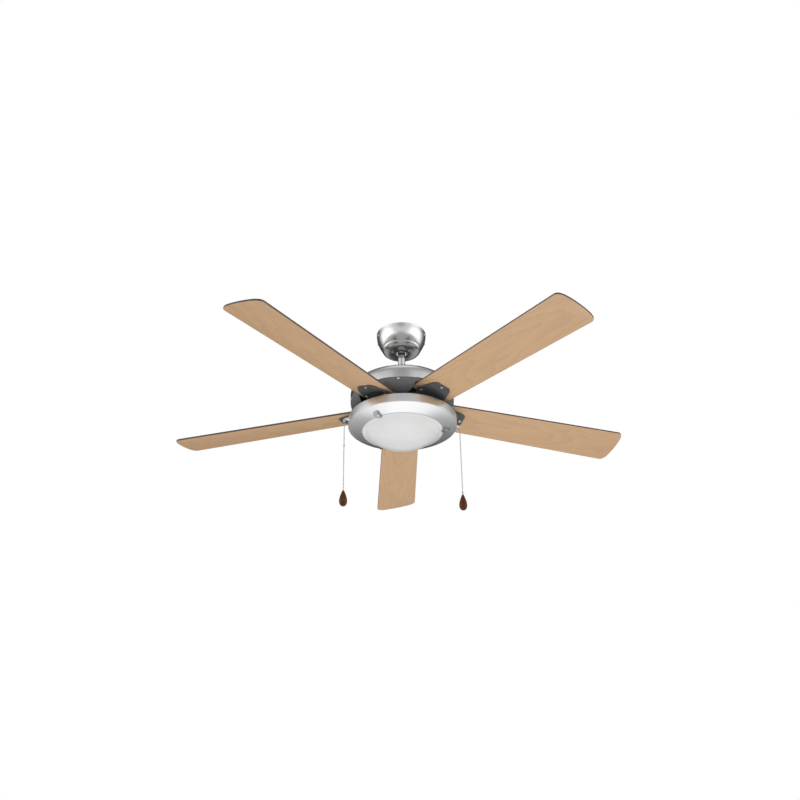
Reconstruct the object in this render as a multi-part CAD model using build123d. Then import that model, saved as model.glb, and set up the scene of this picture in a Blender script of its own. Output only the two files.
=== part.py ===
from build123d import *
import math
import os

# Ceiling fan with a light: five blades on a short downrod, an opal bowl under the motor and two
# pull chains. Millimetres. The origin is the centre of the ceiling plane; the fan hangs towards -Z.
# Azimuths are degrees counter-clockwise from +X, seen from above.

# ---- driving dimensions ----
SHEET = 1.2
RUNNING_GAP = 0.1

CANOPY_R = 69.5
CANOPY_WAIST_R = 55.2
CANOPY_WAIST_Z = -47.8
CANOPY_SIDE_BOW = -3.6
CANOPY_UNDER_BOW = -2.2
CANOPY_FLAT_R = 38.0
CANOPY_BOTTOM_Z = -62.0
CANOPY_HOLE_R = 19.0
CANOPY_SCREW_AZIMUTHS = (-160.0, -20.0, 20.0, 160.0)
CANOPY_SCREW_Z = -14.0
COLLAR_BORE_R = 18.0
COLLAR_LIP_R = 21.0
COLLAR_FLANGE_R = 31.0
COLLAR_SCREW_R = 26.5
COLLAR_SCREW_START = -157.0

CEILING_HOLE_SPACING = 88.9
CEILING_SLOT_LENGTH = 12.0
CEILING_SLOT_R = 2.6
BRACKET_THICKNESS = 2.5
BRACKET_WIDTH = 48.0
WIRE_HOLE_R = 12.0

BALL_Z = -30.0
BALL_R = 24.0
LINER_THICKNESS = 1.5
CUP_R = 34.0

ROD_R = 10.0
ROD_BORE_R = 8.0
ROD_TOP_Z = -16.0
ROD_BOTTOM_Z = -186.0
PIN_R = 3.0
COUPLING_PIN_Z = -180.0
COUPLING_BOTTOM_Z = -196.5
SET_SCREW_Z = -192.0

COVER_R = 142.0
COVER_TOP_R = 113.0
COVER_TOP_Z = -167.0
COVER_SHOULDER_Z = -196.0
COVER_BOTTOM_Z = -217.0
COVER_SCREW_R = 27.0

SHAFT_R = 6.0
SHAFT_CORE_R = 8.0
SHAFT_BORE_R = 3.5
SHAFT_TOP_Z = -188.0
SHAFT_BOTTOM_Z = -278.0
STACK_TOP_Z = -219.0
STACK_BOTTOM_Z = -234.0
STATOR_R = 60.0
STATOR_SLOTS = 16
BEARING_R = 16.0
BEARING_WIDTH = 10.0
BEARING_BALLS = 8
UPPER_BEARING_Z = -210.0
LOWER_BEARING_Z = -253.0

ROTOR_R = 75.0
ROTOR_WALL = 3.0
BELL_SPLIT_Z = -226.5
FLANGE_R = 88.0
FLANGE_Z = -249.5
SHELL_TOP_Z = -218.4
SHELL_FLOOR_Z = -251.0
SHELL_SCREW_TURN = 30.0
SHELL_SCREW_Z = -222.6

BLADE_COUNT = 5
FIRST_BLADE_AZIMUTH = 92.1
BLADE_Z = -240.0
BLADE_PITCH = 11.8
BLADE_DROOP = 1.0
BLADE_THICKNESS = 5.6
BLADE_ROOT_R = 107.0
BLADE_TIP_R = 660.0
BLADE_ROOT_HALF_WIDTH = 52.2
BLADE_TIP_HALF_WIDTH = 62.8
BLADE_TIP_BULGE = 7.0
BLADE_SCREWS = ((121.0, -30.0), (121.0, 30.0), (169.0, 0.0))
BLADE_SCREW_R = 2.2

IRON_SHEET = 2.5
IRON_TRAY_DEPTH = 4.5
IRON_RIM = 2.2
IRON_ARM_START = 66.0
IRON_ARM_END = 92.0
IRON_ARM_WIDTH = 40.0
IRON_SCREW_R = 79.0
IRON_SCREW_SPREAD = 12.0

PAN_R = 147.5
PAN_TOP_Z = -269.4
PAN_LIP_Z = -294.0
PAN_MOUTH_R = 110.0
PAN_MOUTH_Z = -307.8
PAN_SCREW_R = 133.0
PLATE_R = 144.0
GLASS_R = 109.4
GLASS_DOME_R = 101.0
GLASS_BOTTOM_Z = -353.0
GLASS_THICKNESS = 3.0

CLIP_AZIMUTHS = (-123.0, -3.0, 117.0)
CLIP_PIVOT_R = 117.0
CLIP_R = 13.0
CLIP_THICKNESS = 2.0
CLIP_FLAT = 6.5

BULB_AXIS_Z = -294.0
BULB_OFFSET_Y = 36.0
BULB_R = 20.0

CHAIN_AZIMUTH = 10.0
CHAIN_R = 159.0
CHAIN_WIRE_R = 1.6
NOZZLE_Z = -280.0
NOZZLE_BEND_R = 6.0
NOZZLE_MOUTH_Z = -288.5
CHAIN_PIVOT_Z = -289.5
FAN_CHAIN_JOINT_Z = -356.0
FAN_PENDANT_Z = -491.0
LIGHT_CHAIN_JOINT_Z = -474.0
CONNECTOR_R = 2.6
CONNECTOR_LENGTH = 8.0
CONNECTOR_DROP = 1.95
PENDANT_LENGTH = 43.5
PENDANT_R = 10.5

REVERSE_AZIMUTH = 95.0
REVERSE_Z = -281.0


# ---- helpers ----
def via(radius, height):
    """Marks an outline point that an arc passes through."""
    return ("via", radius, height)


def bowed(start, end, bow):
    """The middle point of an arc from start to end that stands off its chord by bow."""
    run = end[0] - start[0]
    rise = end[1] - start[1]
    chord = math.hypot(run, rise)
    middle = ((start[0] + end[0]) / 2, (start[1] + end[1]) / 2)
    return via(middle[0] + bow * rise / chord, middle[1] - bow * run / chord)


def draw_outline(points):
    """A closed outline: straight from point to point, or an arc where a via point is between."""
    closed = list(points) + [points[0]]
    index = 0
    while index < len(closed) - 1:
        start = closed[index]
        following = closed[index + 1]
        if following[0] == "via":
            ThreePointArc(start, following[1:], closed[index + 2])
            index += 2
        else:
            Line(start, following)
            index += 1


def turned(*points):
    """A solid turned about Z from an outline of (radius, height) points."""
    with BuildPart() as part:
        with BuildSketch(Plane.XZ):
            with BuildLine():
                draw_outline(points)
            make_face()
        revolve(axis=Axis.Z)
    return part.part


def slab(points, bottom, top):
    """A flat plate with a polygon outline in XY, from one height to another."""
    outline = make_face(Polyline(*points, close=True))
    return extrude(Pos(0, 0, bottom) * outline, top - bottom)


def post(radius, bottom, top, x=0.0, y=0.0):
    """An upright cylinder between two heights."""
    return Pos(x, y, (bottom + top) / 2) * Cylinder(radius, top - bottom)


def ring(inner, outer, bottom, top):
    """An upright tube between two heights."""
    return post(outer, bottom, top) - post(inner, bottom, top)


def block(x_range, y_range, z_range):
    """A box given by its low and high corner values."""
    size = [high - low for low, high in (x_range, y_range, z_range)]
    centre = [(high + low) / 2 for low, high in (x_range, y_range, z_range)]
    return Pos(*centre) * Box(*size)


def rod_along_x(radius, start, end, y=0.0, z=0.0):
    """A cylinder along X between two places."""
    return Pos((start + end) / 2, y, z) * Rot(0, 90, 0) * Cylinder(radius, end - start)


def rod_along_y(radius, start, end, x=0.0, z=0.0):
    """A cylinder along Y between two places."""
    return Pos(x, (start + end) / 2, z) * Rot(90, 0, 0) * Cylinder(radius, end - start)


def turn(shape, azimuth):
    return Rot(0, 0, azimuth) * shape


def copies(shape, azimuths):
    return [turn(shape, azimuth) for azimuth in azimuths]


def spread(count, start=0.0):
    return [start + index * 360 / count for index in range(count)]


def cut(shape, tools):
    for tool in tools:
        shape = shape - tool
    return shape


def joined(shapes):
    whole = shapes[0]
    for shape in shapes[1:]:
        whole = whole + shape
    return whole


def pan_head_screw(head_r, head_height, shank_r, shank_length):
    """A screw along Z: its head sits on z = 0 and above, and its shank goes down."""
    head = Pos(0, 0, head_height / 2) * Cylinder(head_r, head_height)
    head = fillet(head.edges().group_by(Axis.Z)[-1], head_height * 0.6)
    slot = Box(head_r * 1.1, head_r * 0.28, head_height)
    cross = slot + Rot(0, 0, 90) * slot
    head = head - Pos(0, 0, head_height * 1.05) * cross
    return head + post(shank_r, -shank_length, 0)


def save(node, *shapes):
    solids = [solid for shape in shapes for solid in shape.solids()]
    whole = solids[0] if len(solids) == 1 else Compound(children=solids)
    export_step(whole, f"parts/{node}.step")


BLADE_AZIMUTHS = spread(BLADE_COUNT, FIRST_BLADE_AZIMUTH)
BLADE_FRAME = Pos(0, 0, BLADE_Z) * Rot(0, BLADE_DROOP, 0) * Rot(-BLADE_PITCH, 0, 0)
CONE = (PAN_LIP_Z - PAN_MOUTH_Z) / (PAN_R - 1.0 - PAN_MOUTH_R)
CONE_ANGLE = math.degrees(math.atan(CONE))
CHAIN_AZIMUTHS = (CHAIN_AZIMUTH + 180.0, CHAIN_AZIMUTH)
LINER_R = BALL_R + RUNNING_GAP
CUP_SEAT_R = LINER_R + LINER_THICKNESS + RUNNING_GAP


# ---- ceiling mounting ----
def canopy_screw_place(azimuth):
    return Rot(0, 0, azimuth) * Pos(CANOPY_R - 0.2, 0, CANOPY_SCREW_Z) * Rot(0, 90, 0)


def make_canopy():
    shoulder = (CANOPY_R, -3.0)
    waist = (CANOPY_WAIST_R, CANOPY_WAIST_Z)
    step = (CANOPY_WAIST_R + 0.3, CANOPY_WAIST_Z - 0.7)
    flat = (CANOPY_FLAT_R, CANOPY_BOTTOM_Z)
    inner_shoulder = (CANOPY_R - SHEET, -3.0)
    inner_waist = (CANOPY_WAIST_R - 1.3, CANOPY_WAIST_Z + 0.6)
    inner_flat = (CANOPY_FLAT_R, CANOPY_BOTTOM_Z + SHEET)
    shell = turned(
        (CANOPY_R, 0),
        shoulder,
        bowed(shoulder, waist, CANOPY_SIDE_BOW),
        waist,
        step,
        bowed(step, flat, CANOPY_UNDER_BOW),
        flat,
        (CANOPY_HOLE_R, CANOPY_BOTTOM_Z),
        (CANOPY_HOLE_R, CANOPY_BOTTOM_Z + SHEET),
        inner_flat,
        bowed(inner_flat, inner_waist, -CANOPY_UNDER_BOW),
        inner_waist,
        bowed(inner_waist, inner_shoulder, -CANOPY_SIDE_BOW),
        inner_shoulder,
        (CANOPY_R - SHEET, 0),
    )
    side_hole = Cylinder(2.2, 12)
    side_holes = [canopy_screw_place(azimuth) * side_hole for azimuth in CANOPY_SCREW_AZIMUTHS]
    bottom_hole = post(1.8, CANOPY_BOTTOM_Z - 1, CANOPY_BOTTOM_Z + 3, x=COLLAR_SCREW_R)
    bottom_holes = copies(bottom_hole, spread(3, COLLAR_SCREW_START))
    return cut(shell, side_holes + bottom_holes)


def make_canopy_screws():
    screw = pan_head_screw(4.0, 2.2, 2.2, 8.0)
    return [canopy_screw_place(azimuth) * screw for azimuth in CANOPY_SCREW_AZIMUTHS]


def make_canopy_collar():
    bottom = CANOPY_BOTTOM_Z
    collar = turned(
        (COLLAR_BORE_R, bottom - 1.4),
        (COLLAR_LIP_R, bottom - 1.4),
        (COLLAR_LIP_R, bottom),
        (CANOPY_HOLE_R, bottom),
        (CANOPY_HOLE_R, bottom + SHEET),
        (COLLAR_FLANGE_R, bottom + SHEET),
        (COLLAR_FLANGE_R, bottom + SHEET + 1.6),
        (COLLAR_BORE_R, bottom + SHEET + 1.6),
    )
    hole = post(1.8, bottom, bottom + 4, x=COLLAR_SCREW_R)
    return cut(collar, copies(hole, spread(3, COLLAR_SCREW_START)))


def make_collar_screws():
    screw = pan_head_screw(3.2, 1.6, 1.8, 4.6)
    placed = Pos(COLLAR_SCREW_R, 0, CANOPY_BOTTOM_Z) * Rot(180, 0, 0) * screw
    return copies(placed, spread(3, COLLAR_SCREW_START))


def make_bracket_ear(azimuth):
    """A tab that turns down from the plate and takes one canopy screw."""
    wall_r = CANOPY_R - 3.8
    tab = block((wall_r - 2.5, wall_r), (-7, 7), (CANOPY_SCREW_Z - 6, 0))
    web = block((20, wall_r), (-7, 7), (-BRACKET_THICKNESS, 0))
    screw_hole = rod_along_x(2.2, wall_r - 6, wall_r + 6, z=CANOPY_SCREW_Z)
    return turn(tab + web - screw_hole, azimuth)


def make_ceiling_bracket():
    half = BRACKET_WIDTH / 2
    plate = block((-56, 56), (-half, half), (-BRACKET_THICKNESS, 0))
    ears = [make_bracket_ear(azimuth) for azimuth in CANOPY_SCREW_AZIMUTHS]
    arm = block((30, 33), (-15, 15), (BALL_Z - 20, 0))
    arms = [arm, turn(arm, 180)]
    cup = ring(15, CUP_R, BALL_Z - 20, BALL_Z - 7)
    whole = joined([plate, cup] + arms + ears)
    whole = whole - Pos(0, 0, BALL_Z) * Sphere(CUP_SEAT_R)
    whole = whole - block((-13, 13), (0, CUP_R + 5), (BALL_Z - 25, BALL_Z))
    slot_sketch = SlotOverall(CEILING_SLOT_LENGTH, 2 * CEILING_SLOT_R)
    slot = extrude(Pos(CEILING_HOLE_SPACING / 2, 0, -5) * slot_sketch, 10)
    wire_hole = post(WIRE_HOLE_R, -5, 5)
    return cut(whole, [slot, turn(slot, 180), wire_hole])


def make_ball_liner():
    """The slippery seat between ball and cup, with the key that stops the fan turning."""
    zone = Pos(0, 0, BALL_Z) * (Sphere(LINER_R + LINER_THICKNESS) - Sphere(LINER_R))
    zone = zone & ring(15.5, CUP_R, BALL_Z - 19, BALL_Z - 5.5)
    key_radius = LINER_R - 0.7
    key_block = Pos(0, -key_radius, 0) * Box(4, 3, 4)
    key = Pos(0, 0, BALL_Z) * Rot(25, 0, 0) * key_block
    mouth = block((-12, 12), (0, CUP_R), (BALL_Z - 25, BALL_Z))
    return zone + key - mouth


def make_hanger_ball():
    ball = Pos(0, 0, BALL_Z) * Sphere(BALL_R)
    ball = ball & block((-30, 30), (-30, 30), (BALL_Z - 20, BALL_Z + 16))
    groove_disc = Pos(0, 0, BALL_Z) * Rot(0, 90, 0) * (Cylinder(30, 5) - Cylinder(21.3, 5))
    groove = groove_disc & block((-5, 5), (-40, 0), (BALL_Z - 30, BALL_Z + 8))
    bore = post(ROD_R, BALL_Z - 30, BALL_Z + 30)
    pin_hole = rod_along_x(PIN_R, -30, 30, z=BALL_Z)
    return cut(ball, [groove, bore, pin_hole])


def make_ball_pin():
    return rod_along_x(PIN_R, -21, 21, z=BALL_Z)


def make_downrod():
    tube = ring(ROD_BORE_R, ROD_R, ROD_BOTTOM_Z, ROD_TOP_Z)
    ball_pin_hole = rod_along_x(PIN_R, -20, 20, z=BALL_Z)
    coupling_pin_hole = rod_along_x(PIN_R, -20, 20, z=COUPLING_PIN_Z)
    return cut(tube, [ball_pin_hole, coupling_pin_hole])


# ---- motor and its cover ----
def make_motor_coupling():
    top = COVER_TOP_Z - SHEET
    body = turned(
        (ROD_R, top),
        (34, top),
        (34, top - 4),
        (18, top - 6),
        (18, COUPLING_BOTTOM_Z),
        (SHAFT_R, COUPLING_BOTTOM_Z),
        (SHAFT_R, SHAFT_TOP_Z),
        (5, SHAFT_TOP_Z),
        (5, ROD_BOTTOM_Z),
        (ROD_R, ROD_BOTTOM_Z),
    )
    pin_hole = rod_along_x(PIN_R, -25, 25, z=COUPLING_PIN_Z)
    set_screw_hole = rod_along_y(2.5, -25, -SHAFT_R + 1, z=SET_SCREW_Z)
    screw_hole = post(2.0, top - 8, top + 1, x=COVER_SCREW_R)
    return cut(body, [pin_hole, set_screw_hole] + copies(screw_hole, spread(3, 30)))


def make_coupling_pin():
    """The clevis pin through coupling and rod, with the hairpin clip through its end."""
    pin = rod_along_x(PIN_R, -22, 22, z=COUPLING_PIN_Z)
    head = rod_along_x(4.6, 18, 20.5, z=COUPLING_PIN_Z)
    clip_hole = rod_along_y(1.0, -6, 6, x=-20, z=COUPLING_PIN_Z)
    clip = rod_along_y(1.0, -9, 9, x=-20, z=COUPLING_PIN_Z)
    return [pin + head - clip_hole, clip]


def make_coupling_set_screw():
    screw = rod_along_y(2.5, -17.5, -SHAFT_R, z=SET_SCREW_Z)
    socket = rod_along_y(1.2, -18, -15, z=SET_SCREW_Z)
    return screw - socket


def make_top_cover():
    shoulder = (COVER_R, COVER_SHOULDER_Z)
    top = (COVER_TOP_R, COVER_TOP_Z)
    inner_shoulder = (COVER_R - SHEET, COVER_SHOULDER_Z)
    inner_top = (COVER_TOP_R - 0.4, COVER_TOP_Z - SHEET)
    cover = turned(
        (COVER_R, COVER_BOTTOM_Z),
        shoulder,
        bowed(shoulder, top, 5.0),
        top,
        (13, COVER_TOP_Z),
        (13, COVER_TOP_Z - SHEET),
        inner_top,
        bowed(inner_top, inner_shoulder, -4.6),
        inner_shoulder,
        (COVER_R - SHEET, COVER_BOTTOM_Z),
    )
    hole = post(2.0, COVER_TOP_Z - 3, COVER_TOP_Z + 3, x=COVER_SCREW_R)
    return cut(cover, copies(hole, spread(3, 30)))


def make_cover_screws():
    screw = Pos(COVER_SCREW_R, 0, COVER_TOP_Z) * pan_head_screw(4.0, 2.2, 2.0, 5.0)
    return copies(screw, spread(3, 30))


def make_motor_shaft():
    shaft = turned(
        (SHAFT_BORE_R, SHAFT_TOP_Z),
        (SHAFT_R, SHAFT_TOP_Z),
        (SHAFT_R, STACK_TOP_Z + 8),
        (SHAFT_CORE_R, STACK_TOP_Z + 8),
        (SHAFT_CORE_R, STACK_BOTTOM_Z - 8),
        (SHAFT_R, STACK_BOTTOM_Z - 8),
        (SHAFT_R, SHAFT_BOTTOM_Z),
        (SHAFT_BORE_R, SHAFT_BOTTOM_Z),
    )
    return shaft


def slot_outline(extra_height):
    """The room between two stator teeth, as a solid along +X."""
    bottom = STACK_BOTTOM_Z - extra_height
    top = STACK_TOP_Z + extra_height
    return slab([(30, -2.8), (56, -8.0), (56, 8.0), (30, 2.8)], bottom, top)


def make_stator_core():
    core = ring(SHAFT_CORE_R, STATOR_R, STACK_BOTTOM_Z, STACK_TOP_Z)
    mouth = block((55, 62), (-1.5, 1.5), (STACK_BOTTOM_Z, STACK_TOP_Z))
    slots = copies(slot_outline(0) + mouth, spread(STATOR_SLOTS))
    return cut(core, slots)


def make_stator_windings():
    fills = copies(slot_outline(3), spread(STATOR_SLOTS))
    upper_turns = turned((29, STACK_TOP_Z), (57, STACK_TOP_Z), (54, STACK_TOP_Z + 6), (32, STACK_TOP_Z + 6))
    lower_turns = turned(
        (29, STACK_BOTTOM_Z), (57, STACK_BOTTOM_Z), (54, STACK_BOTTOM_Z - 6), (32, STACK_BOTTOM_Z - 6)
    )
    return joined([upper_turns, lower_turns] + fills)


def make_bearing_inner_rings():
    return [
        ring(SHAFT_R, 9.0, bottom, bottom + BEARING_WIDTH) for bottom in (UPPER_BEARING_Z, LOWER_BEARING_Z)
    ]


def make_bearing_outer_rings():
    """The outer rings with their balls, which turn with the rotor."""
    pieces = []
    for bottom in (UPPER_BEARING_Z, LOWER_BEARING_Z):
        pieces.append(ring(12.5, BEARING_R, bottom, bottom + BEARING_WIDTH))
        ball = Pos(10.75, 0, bottom + BEARING_WIDTH / 2) * Sphere(1.7)
        pieces.extend(copies(ball, spread(BEARING_BALLS)))
    return pieces


def make_rotor_ring():
    return ring(STATOR_R + 0.4, ROTOR_R - ROTOR_WALL, STACK_BOTTOM_Z, STACK_TOP_Z)


def make_rotor_upper_bell():
    bell = turned(
        (7, -198),
        (21, -198),
        (27, -204.5),
        (70, -207.5),
        (ROTOR_R, -212),
        (ROTOR_R, BELL_SPLIT_Z),
        (ROTOR_R - ROTOR_WALL, BELL_SPLIT_Z),
        (ROTOR_R - ROTOR_WALL, -213.5),
        (68, -210.4),
        (25, -207.4),
        (21, UPPER_BEARING_Z),
        (BEARING_R, UPPER_BEARING_Z),
        (BEARING_R, UPPER_BEARING_Z + BEARING_WIDTH),
        (7, UPPER_BEARING_Z + BEARING_WIDTH),
    )
    vent = post(5, -214, -200, x=46)
    return cut(bell, copies(vent, spread(8)))


def iron_screw_holes(radius, bottom, top):
    holes = []
    for azimuth in BLADE_AZIMUTHS:
        for side in (-IRON_SCREW_SPREAD, IRON_SCREW_SPREAD):
            holes.append(turn(post(radius, bottom, top, x=IRON_SCREW_R, y=side), azimuth))
    return holes


def make_rotor_lower_bell():
    bell = turned(
        (ROTOR_R, BELL_SPLIT_Z),
        (ROTOR_R, FLANGE_Z + 3),
        (FLANGE_R, FLANGE_Z + 3),
        (FLANGE_R, FLANGE_Z),
        (21, FLANGE_Z),
        (21, LOWER_BEARING_Z - 2),
        (7, LOWER_BEARING_Z - 2),
        (7, LOWER_BEARING_Z),
        (BEARING_R, LOWER_BEARING_Z),
        (BEARING_R, LOWER_BEARING_Z + BEARING_WIDTH),
        (20, LOWER_BEARING_Z + BEARING_WIDTH),
        (23, FLANGE_Z + 3),
        (ROTOR_R - ROTOR_WALL, FLANGE_Z + 3),
        (ROTOR_R - ROTOR_WALL, BELL_SPLIT_Z),
    )
    vent = post(5, -252, -244, x=46)
    return cut(bell, copies(vent, spread(8)) + iron_screw_holes(2.0, -251, -245))


def blade_notch():
    """The opening in the rotor shell that one blade root and its iron pass through."""
    roof = BLADE_THICKNESS / 2 + 1.0
    notch = block((IRON_ARM_END - 0.2, 170), (-56, 56), (-30, roof))
    return BLADE_FRAME * notch


def shell_screw_place(azimuth):
    return Rot(0, 0, azimuth) * Pos(COVER_R - 0.05, 0, SHELL_SCREW_Z) * Rot(0, 90, 0)


def make_rotor_shell():
    rim = (COVER_R - 1.0, -226.0)
    foot = (106, SHELL_FLOOR_Z)
    inner_foot = (105.4, FLANGE_Z)
    inner_rim = (COVER_R - 2.5, -226.0)
    shell = turned(
        (COVER_R, SHELL_TOP_Z),
        rim,
        bowed(rim, foot, -6.0),
        foot,
        (30, SHELL_FLOOR_Z),
        (30, FLANGE_Z),
        inner_foot,
        bowed(inner_foot, inner_rim, 5.8),
        inner_rim,
        (COVER_R - 1.5, SHELL_TOP_Z),
    )
    notches = copies(blade_notch(), BLADE_AZIMUTHS)
    screw_holes = []
    for azimuth in BLADE_AZIMUTHS:
        screw_holes.append(shell_screw_place(azimuth + SHELL_SCREW_TURN) * Cylinder(1.8, 8))
    return cut(shell, notches + screw_holes + iron_screw_holes(2.0, -252, -248))


def make_shell_screws():
    screw = pan_head_screw(3.4, 1.8, 1.8, 5.0)
    return [shell_screw_place(azimuth + SHELL_SCREW_TURN) * screw for azimuth in BLADE_AZIMUTHS]


# ---- blades ----
def make_blade():
    with BuildPart() as part:
        with BuildSketch(Plane.XY.offset(-BLADE_THICKNESS / 2)):
            with BuildLine():
                corner_r = BLADE_TIP_R - BLADE_TIP_BULGE
                Line((BLADE_ROOT_R, -BLADE_ROOT_HALF_WIDTH), (corner_r, -BLADE_TIP_HALF_WIDTH))
                ThreePointArc(
                    (corner_r, -BLADE_TIP_HALF_WIDTH), (BLADE_TIP_R, 0), (corner_r, BLADE_TIP_HALF_WIDTH)
                )
                Line((corner_r, BLADE_TIP_HALF_WIDTH), (BLADE_ROOT_R, BLADE_ROOT_HALF_WIDTH))
                Line((BLADE_ROOT_R, BLADE_ROOT_HALF_WIDTH), (BLADE_ROOT_R, -BLADE_ROOT_HALF_WIDTH))
            sketch_face = make_face()
            corners = sketch_face.vertices().sort_by(Axis.X)
            fillet(corners[-2:], 16)
        extrude(amount=BLADE_THICKNESS)
        rims = part.faces().sort_by(Axis.Z)
        fillet(rims[0].edges() + rims[-1].edges(), 1.2)
    blade = part.part
    holes = [post(BLADE_SCREW_R, -5, 5, x=x, y=y) for x, y in BLADE_SCREWS]
    return BLADE_FRAME * cut(blade, holes)


def make_blade_iron():
    """A pressed tray under the blade root, a stepped-up lip outboard and an arm to the rotor."""
    blade_face = -BLADE_THICKNESS / 2
    floor = blade_face - IRON_TRAY_DEPTH
    outline = [(104, -36), (121, -43), (168, -28), (178, -20), (178, 20), (168, 28), (121, 43), (104, 36)]
    tray = slab(outline, floor, blade_face)
    rounded = [edge for edge in tray.edges().filter_by(Axis.Z) if edge.center().X > 110]
    tray = fillet(rounded, 3.0)
    cavity_outline = make_face(Polyline(*outline, close=True))
    cavity_outline = offset(cavity_outline, -IRON_RIM) & Pos(130, 0) * Rectangle(60, 100)
    tray = tray - extrude(Pos(0, 0, floor + IRON_SHEET) * cavity_outline, IRON_TRAY_DEPTH)
    step = [(158, floor - 1), (158, floor), (164, blade_face - IRON_SHEET)]
    step += [(182, blade_face - IRON_SHEET), (182, floor - 1)]
    relief = extrude(Plane.XZ * make_face(Polyline(*step, close=True)), 60, both=True)
    tray = tray - relief
    for x, y in BLADE_SCREWS[:2]:
        tray = tray + post(6, floor + 1, blade_face, x=x, y=y)
    tray = cut(tray, [post(BLADE_SCREW_R, -12, 0, x=x, y=y) for x, y in BLADE_SCREWS])

    arm_z = SHELL_FLOOR_Z - IRON_SHEET / 2
    inner_plane = Plane((IRON_ARM_END, 0, arm_z), x_dir=(0, 1, 0), z_dir=(1, 0, 0))
    outer_plane = Plane((104.4, 0, floor + IRON_SHEET / 2), x_dir=(0, 1, 0), z_dir=(1, 0, 0))
    inner_section = inner_plane * Rectangle(IRON_ARM_WIDTH, IRON_SHEET)
    outer_section = BLADE_FRAME * (outer_plane * Rectangle(72, IRON_SHEET))
    neck = loft([inner_section.face(), outer_section.face()], ruled=True)
    half = IRON_ARM_WIDTH / 2
    arm_top = SHELL_FLOOR_Z
    arm = block((IRON_ARM_START, IRON_ARM_END), (-half, half), (arm_top - IRON_SHEET, arm_top))
    arm = fillet(arm.edges().filter_by(Axis.Z).group_by(Axis.X)[0], 8)
    for side in (-IRON_SCREW_SPREAD, IRON_SCREW_SPREAD):
        arm = arm - post(2.0, arm_top - 5, arm_top + 1, x=IRON_SCREW_R, y=side)
    return BLADE_FRAME * tray + neck + arm


def make_blade_screws():
    """Three screws a blade, heads under the iron, shanks up into the wood."""
    screws = []
    face = -BLADE_THICKNESS / 2
    for x, y in BLADE_SCREWS:
        seat = face - (IRON_TRAY_DEPTH if x < 160 else IRON_SHEET)
        length = BLADE_THICKNESS / 2 - 0.6 - seat
        screw = pan_head_screw(4.2, 2.4, BLADE_SCREW_R, length)
        screws.append(BLADE_FRAME * Pos(x, y, seat) * Rot(180, 0, 0) * screw)
    return [turn(screw, azimuth) for azimuth in BLADE_AZIMUTHS for screw in screws]


def make_iron_screws():
    seat = SHELL_FLOOR_Z - IRON_SHEET
    screws = []
    for side in (-IRON_SCREW_SPREAD, IRON_SCREW_SPREAD):
        screw = pan_head_screw(4.0, 2.4, 2.0, 8.0)
        screws.append(Pos(IRON_SCREW_R, side, seat) * Rot(180, 0, 0) * screw)
    return [turn(screw, azimuth) for azimuth in BLADE_AZIMUTHS for screw in screws]


# ---- light kit ----
def pan_underside(radius):
    """Height of the pan's sloping underside at a radius."""
    return PAN_MOUTH_Z + (radius - PAN_MOUTH_R) * CONE


def chain_holes(radius):
    hole = rod_along_x(radius, PAN_R - 12, PAN_R + 12, z=NOZZLE_Z)
    return copies(hole, CHAIN_AZIMUTHS)


def clip_place(azimuth):
    """The frame of one clip: its Z axis is square to the pan's underside and points down."""
    seat = pan_underside(CLIP_PIVOT_R) - 0.35
    return Rot(0, 0, azimuth) * Pos(CLIP_PIVOT_R, 0, seat) * Rot(0, 180 - CONE_ANGLE, 0)


def reverse_slot():
    slot = block((PAN_R - 6, PAN_R + 6), (-5.0, 8.0), (REVERSE_Z - 2, REVERSE_Z + 2))
    return turn(slot, REVERSE_AZIMUTH)


def make_fitter_pan():
    wall_r = PAN_R - SHEET
    lip = (PAN_R - 1.0, PAN_LIP_Z)
    rebate = 3.3
    inner_r = 103.5
    pan = turned(
        (PAN_R - 8, PAN_TOP_Z),
        (PAN_R - 1.5, PAN_TOP_Z),
        via(PAN_R - 0.4, PAN_TOP_Z - 0.5),
        (PAN_R, PAN_TOP_Z - 1.5),
        (PAN_R, PAN_LIP_Z + 2.0),
        via(PAN_R - 0.2, PAN_LIP_Z + 0.8),
        lip,
        (PAN_MOUTH_R, PAN_MOUTH_Z),
        (PAN_MOUTH_R, PAN_MOUTH_Z + rebate),
        (inner_r, pan_underside(inner_r) + rebate),
        (inner_r, pan_underside(inner_r) + rebate + SHEET),
        (PAN_MOUTH_R + 1.2, pan_underside(PAN_MOUTH_R + 1.2) + rebate + SHEET),
        (PAN_MOUTH_R + 1.2, pan_underside(PAN_MOUTH_R + 1.2) + SHEET + 0.1),
        (wall_r - 0.4, pan_underside(wall_r - 0.4) + SHEET + 0.1),
        (wall_r, PAN_LIP_Z + 2.4),
        (wall_r, PAN_TOP_Z - SHEET),
        (120, PAN_TOP_Z - SHEET),
        (120, PAN_TOP_Z),
    )
    screw_hole = post(1.8, PAN_TOP_Z - 4, PAN_TOP_Z + 2, x=PAN_SCREW_R)
    clip_holes = [clip_place(azimuth) * Cylinder(1.8, 12) for azimuth in CLIP_AZIMUTHS]
    tools = chain_holes(3.0) + copies(screw_hole, spread(3, 30)) + clip_holes + [reverse_slot()]
    return cut(pan, tools)


def make_light_kit_plate():
    top = PAN_TOP_Z - SHEET
    plate = ring(SHAFT_R, PLATE_R, top - 1.6, top)
    boss = ring(SHAFT_R, 12, top - 4, top + 4)
    screw_hole = post(1.8, top - 4, top + 2, x=PAN_SCREW_R)
    return cut(plate + boss, copies(screw_hole, spread(3, 30)))


def make_pan_screws():
    screw = Pos(PAN_SCREW_R, 0, PAN_TOP_Z) * pan_head_screw(3.4, 1.8, 1.8, 3.6)
    return copies(screw, spread(3, 30))


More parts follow.
